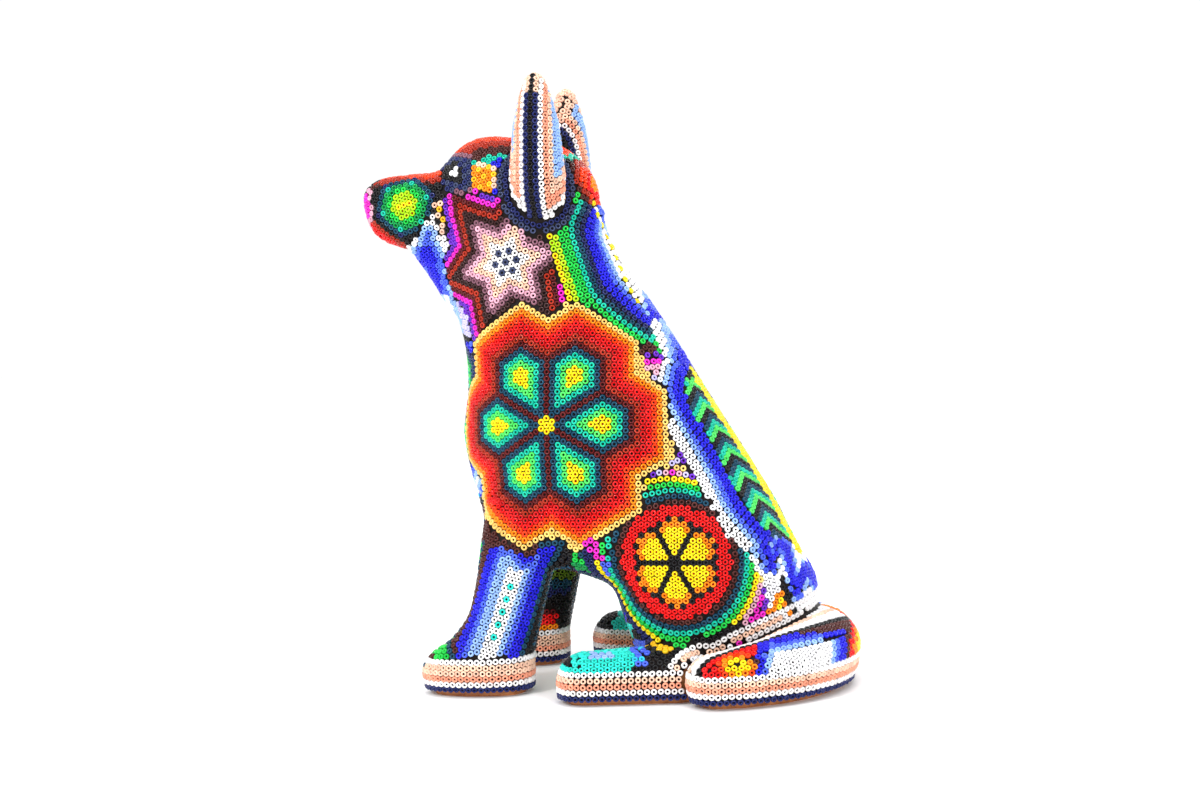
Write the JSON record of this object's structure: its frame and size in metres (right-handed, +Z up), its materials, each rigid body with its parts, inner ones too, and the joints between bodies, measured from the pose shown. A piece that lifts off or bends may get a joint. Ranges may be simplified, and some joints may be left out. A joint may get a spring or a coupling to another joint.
{
  "type": "beaded coyote figure",
  "caption": "Sitting coyote figure with upright ears and a curled tail: carved wood under wax, covered all over in glass seed beads in flower, star and wheel motifs.",
  "frame": {"origin": "centre of the bounding box, on the surface the figure stands on", "axes": "+Z up; -Y is the way the muzzle points; +X is the figure's left side, where the tail curls forward"},
  "size_m": [0.096, 0.1614, 0.1974],
  "materials": {
    "carved_wood": "satin",
    "beeswax": "satin",
    "beads_warm": "glossy",
    "beads_blue": "glossy",
    "beads_pale": "glossy",
    "beads_dark": "glossy"
  },
  "bodies": {
    "root": {"beads_back": "beads_blue", "beads_belly": "beads_dark", "beads_chest": "beads_blue", "beads_crown": "beads_warm", "beads_ear_left": "beads_pale", "beads_ear_right": "beads_pale", "beads_flank_left": "beads_dark", "beads_flank_right": "beads_dark", "beads_flower_left": "beads_warm", "beads_flower_right": "beads_warm", "beads_foot_border_left": "beads_pale", "beads_foot_border_right": "beads_pale", "beads_front_leg_left": "beads_blue", "beads_front_leg_right": "beads_blue", "beads_haunch_front_left": "beads_dark", "beads_haunch_front_right": "beads_dark", "beads_hind_paw_left": "beads_blue", "beads_hind_paw_right": "beads_blue", "beads_neck": "beads_dark", "beads_rump_border_left": "beads_pale", "beads_rump_border_right": "beads_pale", "beads_snout": "beads_warm", "beads_snout_roundel_left": "beads_warm", "beads_snout_roundel_right": "beads_warm", "beads_star_left": "beads_dark", "beads_star_right": "beads_dark", "beads_tail_border": "beads_pale", "beads_tail_field": "beads_dark", "beads_throat": "beads_blue", "beads_wheel_left": "beads_warm", "beads_wheel_right": "beads_warm", "core_body": "carved_wood", "core_ear_left": "carved_wood", "core_ear_right": "carved_wood", "core_tail": "carved_wood", "wax_body": "beeswax", "wax_ear_left": "beeswax", "wax_ear_right": "beeswax", "wax_tail": "beeswax"}
  },
  "joints": []
}
